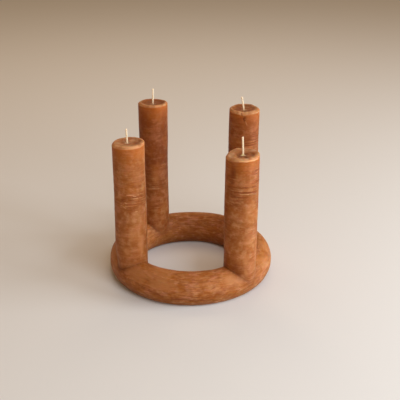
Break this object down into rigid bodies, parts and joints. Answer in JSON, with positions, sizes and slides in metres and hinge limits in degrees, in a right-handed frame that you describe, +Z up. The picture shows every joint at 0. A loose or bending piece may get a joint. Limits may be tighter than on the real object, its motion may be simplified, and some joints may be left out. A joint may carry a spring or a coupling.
{
  "type": "advent ring candle",
  "caption": "Ring-shaped wax candle cast in one piece with upright columns of slightly different heights, each with a cotton wick, standing on a flat foot.",
  "frame": {"origin": "centre of the ring on the plane of its foot", "axes": "+Z up along the columns, -Y towards the front, where the two shorter columns stand, +X to the right of a viewer at the front"},
  "size_m": [0.1992, 0.1992, 0.211],
  "materials": {
    "wax": "rust-brown dyed wax, satin, faintly translucent at the rims, with pale bloom, fine level striations on the columns and scuffs along the ring",
    "wick": "undyed braided cotton, lightly waxed"
  },
  "bodies": {
    "root": {"wax_body": "wax", "wick_front_left": "wick", "wick_back_left": "wick", "wick_back_right": "wick", "wick_front_right": "wick"}
  },
  "joints": []
}
